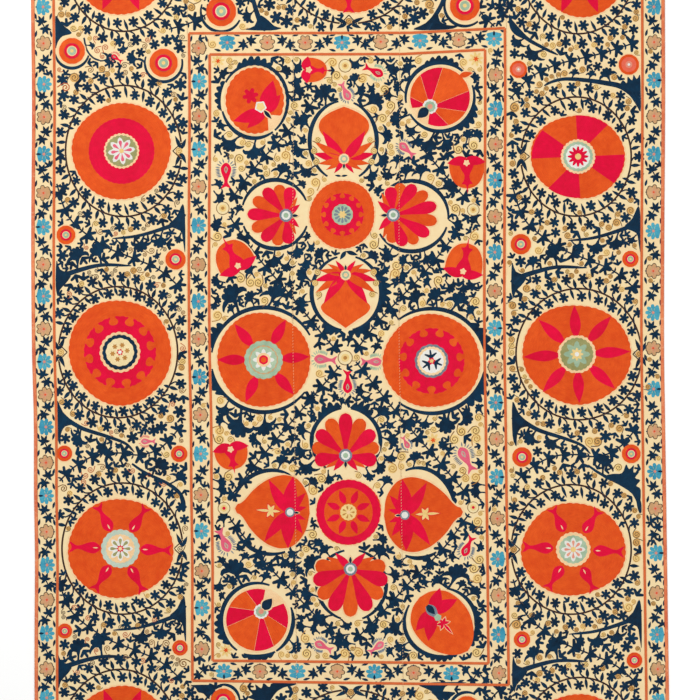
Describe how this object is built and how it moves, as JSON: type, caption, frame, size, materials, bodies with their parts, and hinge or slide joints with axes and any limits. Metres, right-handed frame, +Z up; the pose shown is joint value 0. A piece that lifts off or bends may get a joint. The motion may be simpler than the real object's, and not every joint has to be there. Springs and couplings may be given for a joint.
{
  "type": "embroidered suzani cover",
  "caption": "Large flat embroidered cotton cover: loom widths sewn edge to edge, with a narrow silk binding round the outside and rosettes, leaf wreaths and borders worked in silk.",
  "frame": {"origin": "on the surface that the cover lies on, under the middle of the cover", "axes": "+X across the cover, +Y along it towards its far end, +Z up from the surface, out of the embroidered face"},
  "size_m": [1.5951, 2.415, 0.0022],
  "materials": {
    "embroidered_cotton": "matt hand-woven cotton covered with silk embroidery",
    "silk_binding": "soft silk sheen"
  },
  "bodies": {
    "root": {"width_1_left_border": "embroidered_cotton", "width_2_left_field": "embroidered_cotton", "width_3_middle_field": "embroidered_cotton", "width_4_right_field": "embroidered_cotton", "width_5_right_border": "embroidered_cotton", "binding_left": "silk_binding", "binding_right": "silk_binding", "binding_far_end": "silk_binding", "binding_near_end": "silk_binding"}
  },
  "joints": []
}
